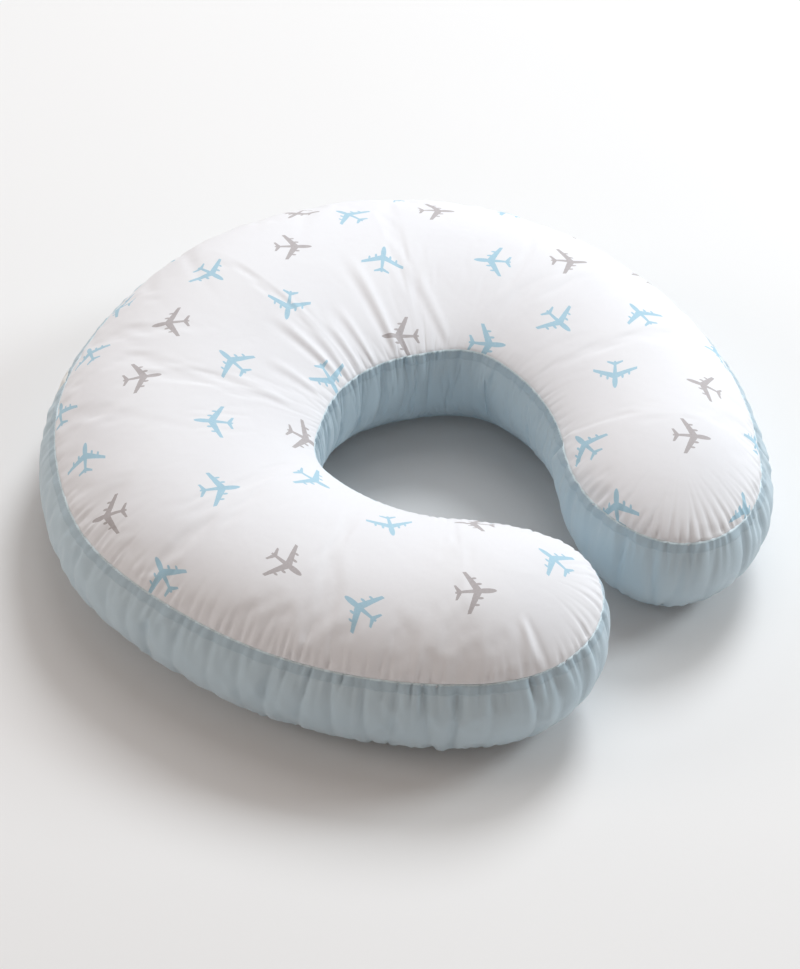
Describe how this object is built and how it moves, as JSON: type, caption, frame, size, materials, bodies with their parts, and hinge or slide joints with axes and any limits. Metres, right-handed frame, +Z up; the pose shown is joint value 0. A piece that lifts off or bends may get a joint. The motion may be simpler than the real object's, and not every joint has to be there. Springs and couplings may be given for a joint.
{
  "type": "nursing pillow",
  "caption": "U-shaped nursing pillow: a padded horseshoe cushion in a zipped cotton cover with a printed top and a plain side band, over a fibre-filled inner pillow.",
  "frame": {"origin": "on the surface the pillow rests on, under the middle of its bounding box", "axes": "+X across the U, from one arm to the other; +Y towards the back of the U, away from its mouth; +Z up"},
  "size_m": [0.5986, 0.5768, 0.142],
  "materials": {
    "printed_percale": "matt white cotton with a scattered pale blue and grey print",
    "blue_sateen": "soft sheen, pale blue cotton sateen",
    "label_satin": "white woven satin",
    "zip_tape": "pale blue woven polyester",
    "zip_coil": "pale blue nylon",
    "zip_metal": "satin nickel plate",
    "ticking": "matt white cotton",
    "fibre": "white hollow polyester fibre"
  },
  "bodies": {
    "pillow": {"cover_top_panel": "printed_percale", "cover_bottom_panel": "blue_sateen", "cover_side_band": "blue_sateen", "cover_zip_strip_upper": "blue_sateen", "cover_zip_strip_lower": "blue_sateen", "cover_care_label": "label_satin", "zip_tape_upper": "zip_tape", "zip_tape_lower": "zip_tape", "zip_coil_upper": "zip_coil", "zip_coil_lower": "zip_coil", "zip_top_stop_upper": "zip_metal", "zip_top_stop_lower": "zip_metal", "zip_bottom_stop": "zip_metal", "inner_case_top": "ticking", "inner_case_bottom": "ticking", "inner_case_band": "ticking", "fibre_fill": "fibre"},
    "slider": {"zip_slider": "zip_metal"},
    "pull": {"zip_pull": "zip_metal"}
  },
  "joints": [
    {"name": "zip_slide", "type": "hinge", "parent": "pillow", "child": "slider", "pos_m": [0, -0.05582, 0.05859], "axis": [0, 0, 1], "range_deg": [0, 51]},
    {"name": "pull_swing", "type": "hinge", "parent": "slider", "child": "pull", "pos_m": [0.15077, 0.25675, 0.05859], "axis": [0, 0, -1], "range_deg": [0, 165]}
  ]
}
